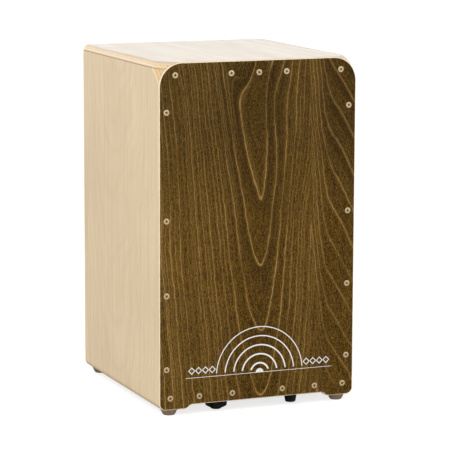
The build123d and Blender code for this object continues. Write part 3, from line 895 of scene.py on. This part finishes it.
def recess_bar(turn):
    """A bar that narrows downward, for one slot of the cross."""
    bpy.ops.object.select_all(action="DESELECT")
    bpy.ops.mesh.primitive_cube_add(size=mm, location=(0, 0, recess_middle),
                                    rotation=(0, 0, radians(turn)),
                                    scale=(recess_length / mm, recess_width / mm, recess_depth / mm))
    bar = bpy.context.object
    pick(bar, lambda face: face.normal.z < -0.9)
    bpy.ops.transform.resize(value=(0.45, 0.6, 1), orient_type="LOCAL",
                             center_override=(0, 0, recess_middle - recess_depth / 2))
    close()
    return bar


def recess_well():
    """A cone, tip down, for the middle of the cross."""
    bpy.ops.object.select_all(action="DESELECT")
    bpy.ops.mesh.primitive_cone_add(vertices=24, radius1=well_tip, radius2=well_top, depth=well_depth,
                                    location=(0, 0, well_middle))
    return bpy.context.object


# %% [markdown]
# Cutting with a Boolean modifier leaves crisp walls, which catch the light as a real recess
# does. The cut faces then get a duller and darker metal than the head. The darkness is
# painted shade, for the shade that falls inside the recess.


# %% One wood screw
def cut_out(screw, cutter):
    recess = screw.modifiers.new("recess", "BOOLEAN")
    recess.object = cutter
    recess.operation = "DIFFERENCE"
    lone(screw)
    bpy.ops.object.modifier_apply(modifier="recess")
    bpy.data.objects.remove(cutter)


def wood_screw(head, core, length):
    """A finished screw, with the faces of its recess in the darker metal of painted shade."""
    screw = screw_blank(head, core, length)
    cut_out(screw, recess_bar(0))
    cut_out(screw, recess_bar(90))
    cut_out(screw, recess_well())
    screw.data.materials.clear()
    screw.data.materials.append(finishes["screw"])
    screw.data.materials.append(finishes["recess"])
    # The faces inside the recess take the darker metal, which is painted shade for the shade that falls in
    # it.
    deepest = core - head - head_rim
    for face in screw.data.polygons:
        middle = face.center
        inside = hypot(middle.x, middle.y) < 0.8 * (head + middle.z)
        if inside and deepest < middle.z < -0.2 * mm:
            face.material_index = 1
    return screw


# %% [markdown]
# Copies of the screw are driven in where the solids stand, each turned about its own axis
# by chance. The chance is seeded, so the cross of each head points the same way every time.


# %% Screws in their places
def driven_in(model, node, outward):
    """Copies of a screw in the places of a node's solids, heads outward along Y."""
    copies = []
    for low, high in boxes_of(node):
        place = Vector(((low.x + high.x) / 2, high.y if outward > 0 else low.y, (low.z + high.z) / 2))
        copy = model.copy()
        copy.data = model.data.copy()
        bpy.context.collection.objects.link(copy)
        turn = Matrix.Rotation(radians(-90 * outward), 4, "X") @ Matrix.Rotation(dice.uniform(0, tau), 4, "Z")
        copy.matrix_world = Matrix.Translation(place) @ turn
        copies.append(copy)
    bpy.ops.object.select_all(action="DESELECT")
    for copy in copies:
        copy.select_set(True)
    bpy.context.view_layer.objects.active = copies[0]
    bpy.ops.object.join()
    group = bpy.context.object
    group.name = node + "_turned"
    dress(settle(group, 30), "screw", "box", node)
    return len(copies)


dice = random.Random(11)
core_radius = 1.75 * mm
screw_low, screw_high = boxes_of("plate_screws_top")[0]
model = wood_screw((screw_high.x - screw_low.x) / 2, core_radius, screw_high.y - screw_low.y)
screws_driven = 0
for side in ("top", "bottom", "left", "right"):
    screws_driven += driven_in(model, "plate_screws_" + side, -1)
screws_driven += driven_in(model, "back_screws", 1)
bpy.data.objects.remove(model)
print("screws driven in:", screws_driven)

# %% [markdown]
# Each foot is a stub of rubber that narrows towards the floor, with a deep hole for its
# screw and washer. It could be spun from a profile. Pulling it down from a disc under the
# box, ring by ring, keeps its faces even, and the hole is two insets and one more pull.


# %% Feet
hole_reach = 5.9 * mm
hole_lip = 0.7 * mm
hole_lip_rise = 0.5 * mm
hole_depth = 4.5 * mm


def rubber_foot(node):
    low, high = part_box(node)
    middle = (low + high) / 2
    wide = (high.x - low.x) / 2
    rings = ((0.5, 1.0), (1.6, 0.985), (4.6, 0.862), (7.4, 0.748), (8.4, 0.690), (8.85, 0.655), (9.0, 0.610))
    bpy.ops.object.select_all(action="DESELECT")
    bpy.ops.mesh.primitive_circle_add(vertices=64, radius=wide * 0.985, fill_type="NGON",
                                      location=(middle.x, middle.y, high.z))
    foot = bpy.context.object
    foot.name = node + "_moulded"
    pick(foot, lambda face: True)
    depth_now, reach_now = 0.0, 0.985
    for depth, reach in rings:
        centre = (middle.x, middle.y, high.z - depth * mm)
        extrude((0, 0, (depth_now - depth) * mm), reach / reach_now, centre)
        depth_now, reach_now = depth, reach
    floor_reach = reach_now * wide
    bpy.ops.mesh.inset(thickness=floor_reach - hole_reach)
    bpy.ops.mesh.inset(thickness=hole_lip, depth=hole_lip_rise)
    extrude((0, 0, hole_depth))
    bpy.ops.mesh.select_all(action="SELECT")
    bpy.ops.mesh.normals_make_consistent(inside=False)
    close()
    return dress(settle(foot, 40), "rubber", "box", node)


for name in sorted(nodes):
    if name.startswith("foot_") and name not in ("foot_screws", "foot_washers"):
        foot = rubber_foot(name)
        print("foot:", foot.name, "with", len(foot.data.polygons), "faces")

# %% [markdown]
# The two tuning knobs are moulded, and a mould can't make a sharp edge. Their solids have
# the hub and both wings already, so each is copied and its sharp edges are softly rounded.

# %% Knobs
for side in ("left", "right"):
    knob = clean_copy(side + "_tuning_knob", side + "_knob_moulded")
    ease(knob, 0.35 * mm, 30, 3)
    dress(settle(knob, 50), "knob", side + "_tuner", side + "_tuning_knob")
    print("knob:", knob.name, "with", len(knob.data.polygons), "faces")

# %% [markdown]
# The snare wires hang from fixed anchors and end in carriages that the knobs draw down. Each
# wire is pulled up from a small disc in short steps, which gives it points to stretch at. Its
# fine winding is left to the finish.


# %% Snare wires
wire_steps = 24


def snare_wires(side):
    pieces = []
    for low, high in boxes_of(side + "_strings"):
        middle = (low + high) / 2
        bpy.ops.object.select_all(action="DESELECT")
        bpy.ops.mesh.primitive_circle_add(vertices=10, radius=(high.x - low.x) / 2, fill_type="NGON",
                                          location=(middle.x, middle.y, low.z))
        wire = bpy.context.object
        pick(wire, lambda face: True)
        for step in range(wire_steps):
            extrude((0, 0, (high.z - low.z) / wire_steps))
        bpy.ops.mesh.select_all(action="SELECT")
        bpy.ops.mesh.normals_make_consistent(inside=False)
        close()
        pieces.append(wire)
    bpy.ops.object.select_all(action="DESELECT")
    for wire in pieces:
        wire.select_set(True)
    bpy.context.view_layer.objects.active = pieces[0]
    bpy.ops.object.join()
    wires = bpy.context.object
    wires.name = side + "_snare_wires"
    settle(wires, 60)
    wires.data.materials.append(finishes["wire"])
    low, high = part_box(side + "_strings")
    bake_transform(wires)
    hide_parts(side + "_strings")
    return wires


for side in ("left", "right"):
    wires = snare_wires(side)
    print("wires:", wires.name, "with", len(wires.data.polygons), "faces")

# %% [markdown]
# The plate carries a small white ornament, printed on top of the stain: a thin base line,
# half rings that spread from it like waves from a drum, and a row of lozenges on each side.
# It could be part of the plate's finish, but its edges would blur once a finish is baked to
# an image. So each shape is a flat outline, given the thickness of a coat of paint.

# %% Flat shapes for the ornament
paint_gap = 0.02 * mm
paint_depth = 0.04 * mm
line_z = 53 * mm
line_left, line_right = -110 * mm, 116 * mm
middle_x = (line_left + line_right) / 2
ornament = []


def flat_shape(vertices, radius, x, z, turn=0.0):
    """A flat regular shape that stands just in front of the plate."""
    bpy.ops.object.select_all(action="DESELECT")
    bpy.ops.mesh.primitive_circle_add(vertices=vertices, radius=radius, fill_type="NGON",
                                      location=(x, front - paint_gap, z),
                                      rotation=(radians(90), radians(turn), 0))
    shape = bpy.context.object
    lone(shape)
    bpy.ops.object.transform_apply(location=True, rotation=True, scale=True)
    ornament.append(shape)
    return shape


def hollow_out(shape, stroke):
    """Leave only a stroke along the outline."""
    pick(shape, lambda face: True)
    bpy.ops.mesh.inset(thickness=stroke)
    bpy.ops.mesh.delete(type="FACE")
    close()


def cut_below(shape, z):
    """Keep what stands above height z."""
    pick(shape, lambda face: True)
    bpy.ops.mesh.bisect(plane_co=(0, 0, z), plane_no=(0, 0, 1), clear_inner=True)
    close()


# %% [markdown]
# The waves get wider by the same step and thinner as they spread, and each stops a little
# above the base line. The line itself is a square, stretched until it is long and thin.

# %% Ornament
first_wave, wave_step = 15 * mm, 13 * mm
first_stroke, stroke_step = 2.6 * mm, 0.3 * mm
for number in range(5):
    wave = flat_shape(128, first_wave + number * wave_step, middle_x, line_z)
    hollow_out(wave, first_stroke - number * stroke_step)
    cut_below(wave, line_z + 4 * mm)
drum = flat_shape(64, 6 * mm, middle_x, line_z)
cut_below(drum, line_z + 0.4 * mm)
for step in (-10, -9, -8, -7, 7, 8, 9, 10):
    lozenge = flat_shape(4, 5.4 * mm, middle_x + step * 10.4 * mm, line_z + 10 * mm)
    hollow_out(lozenge, 1.2 * mm)
base_line = flat_shape(4, 1 * mm, middle_x, line_z, 45)
half_side = 1 * mm * cos(pi / 4)
half_length = (line_right - line_left) / 2
half_stroke = 0.35 * mm
pick(base_line, lambda face: True)
bpy.ops.transform.resize(value=(half_length / half_side, 1, half_stroke / half_side),
                         center_override=(middle_x, front - paint_gap, line_z))
close()
print("flat shapes:", len(ornament))

# %% [markdown]
# Joined, the shapes are one print. Solidify gives it the thickness of paint, half to each
# side of the flat shapes, which stand that little in front of the plate.

# %% One coat of paint
bpy.ops.object.select_all(action="DESELECT")
for shape in ornament:
    shape.select_set(True)
bpy.context.view_layer.objects.active = ornament[0]
bpy.ops.object.join()
print_layer = bpy.context.object
print_layer.name = "white_ornament"
coat = print_layer.modifiers.new("coat", "SOLIDIFY")
coat.thickness = paint_depth
coat.offset = 0.0
dress(settle(print_layer, 30), "paint", "box")
print("ornament faces:", len(print_layer.data.polygons))

# %% [markdown]
# What is left is hardware inside and under the box. Its solids have the right shape
# already, so they stay, and each only takes the finish of what it is made of.

# %% Hardware that stays
for name, node in nodes.items():
    if node.hide_render:
        continue
    if name.endswith("rod_bush"):
        finish = "nylon"
    elif name.endswith("ferrules"):
        finish = "brass"
    elif name.endswith(("anchor", "carriage")):
        finish = "aluminium"
    else:
        finish = "zinc"
    node.data.materials.clear()
    node.data.materials.append(finishes[finish])
    print("kept:", name, finish)

# %% [markdown]
# Last, two sizes go on record side by side: that of the solids, measured before anything
# was added, and that of what is shown now. They should hardly differ.

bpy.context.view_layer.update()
shown_low, shown_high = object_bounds()
print("shown size in mm:", [round(v / mm, 1) for v in shown_high - shown_low])
